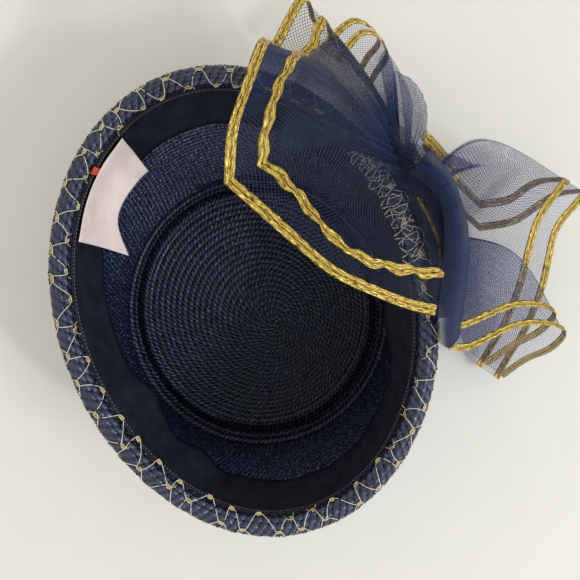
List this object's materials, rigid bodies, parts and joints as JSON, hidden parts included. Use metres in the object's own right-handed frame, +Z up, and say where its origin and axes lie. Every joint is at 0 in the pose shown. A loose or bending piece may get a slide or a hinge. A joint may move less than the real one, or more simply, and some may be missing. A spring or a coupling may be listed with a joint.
{
  "type": "church hat",
  "caption": "Dark straw dress hat with a rolled edge, gold net veiling and a large sheer bow edged with gold braid, lying upside down on its crown.",
  "frame": {"origin": "centre of the flat crown tip, on the surface that the upturned hat lies on", "axes": "+Z up through the head opening, Y along the length of the head oval, +X towards the bow"},
  "size_m": [0.2759, 0.241, 0.1438],
  "materials": {
    "navy_straw": "glossy dark navy sewn straw braid",
    "ribbed_ribbon": "matt grey-black ribbed ribbon",
    "white_satin": "white woven satin",
    "gold_thread": "pale gold net thread",
    "navy_mesh": "sheer fine navy mesh ribbon",
    "gold_braid": "shiny gold lurex braid"
  },
  "bodies": {
    "root": {"crown": "navy_straw", "edge_roll": "navy_straw", "sweatband": "ribbed_ribbon", "label": "white_satin", "veil": "gold_thread", "bow_gathers": "navy_mesh", "bow_flap": "navy_mesh", "braid_flap_edge": "gold_braid", "braid_flap_inner": "gold_braid", "bow_puff": "navy_mesh", "bow_loop_top": "navy_mesh", "braid_loop_top_edge": "gold_braid", "braid_loop_top_inner": "gold_braid", "bow_loop_round": "navy_mesh", "bow_loop_right": "navy_mesh", "braid_loop_right_edge": "gold_braid", "braid_loop_right_inner": "gold_braid", "bow_loop_low": "navy_mesh", "braid_loop_low_edge": "gold_braid", "braid_loop_low_inner": "gold_braid"}
  },
  "joints": []
}
